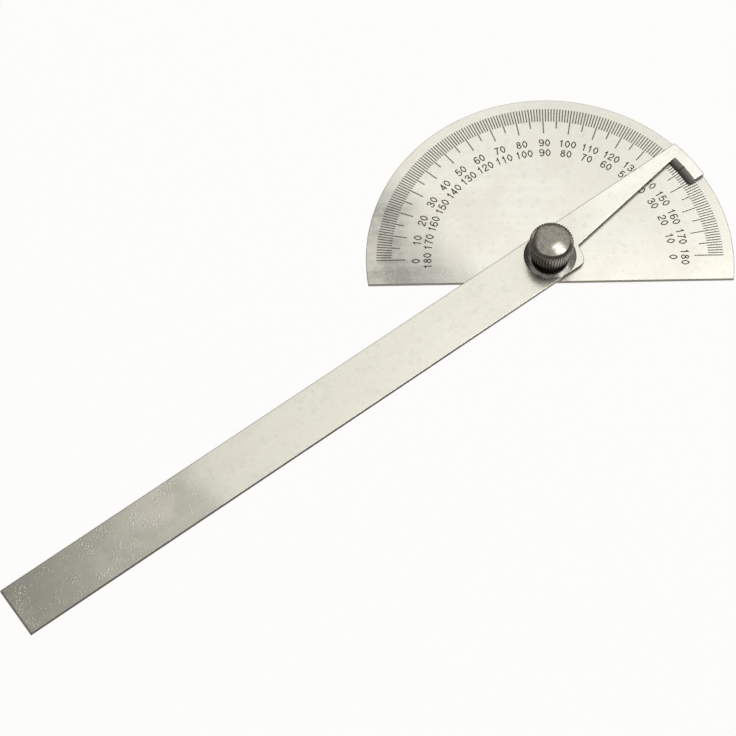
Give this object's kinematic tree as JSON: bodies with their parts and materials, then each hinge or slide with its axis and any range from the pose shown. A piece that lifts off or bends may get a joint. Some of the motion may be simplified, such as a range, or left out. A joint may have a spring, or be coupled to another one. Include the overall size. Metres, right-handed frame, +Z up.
{
  "type": "bevel protractor",
  "caption": "Flat metal protractor: a half-round head plate with an engraved degree scale and a long straight blade that swings on a pivot, clamped by a knurled thumb nut.",
  "frame": {"origin": "on the pivot axis, in the head plate's flat back face", "axes": "+X along the scale's 0 to 180 base line, +Y towards the 90 degree mark, +Z up out of the engraved face along the pivot axis"},
  "size_m": [0.1692, 0.1357, 0.0102],
  "materials": {
    "head_steel": "fine satin rolled stainless sheet, etched and inked scale",
    "blade_steel": "fine satin rolled stainless sheet with light scratches",
    "stud_steel": "turned and staked steel",
    "washer_steel": "polished",
    "nut_steel": "turned and plated, straight knurl"
  },
  "bodies": {
    "head": {"head_plate": "head_steel", "pivot_stud": "stud_steel"},
    "arm": {"arm_blade": "blade_steel"},
    "washer": {"clamp_washer": "washer_steel"},
    "nut": {"lock_nut": "nut_steel"}
  },
  "joints": [
    {"name": "arm_swing", "type": "hinge", "parent": "head", "child": "arm", "pos_m": [0, 0, 0.00155], "axis": [0, 0, 1], "range_deg": [-35.5, 144.5]},
    {"name": "washer_lift", "type": "slide", "parent": "head", "child": "washer", "axis": [0, 0, 1], "range_m": [0, 0.0014]},
    {"name": "nut_turn", "type": "hinge", "parent": "washer", "child": "nut", "pos_m": [0, 0, 0.00255], "axis": [0, 0, 1], "range_deg": [0, 720]}
  ],
  "couplings": [
    {"joint": "nut_turn", "follows": "washer_lift", "rad_per_m": 8976}
  ]
}
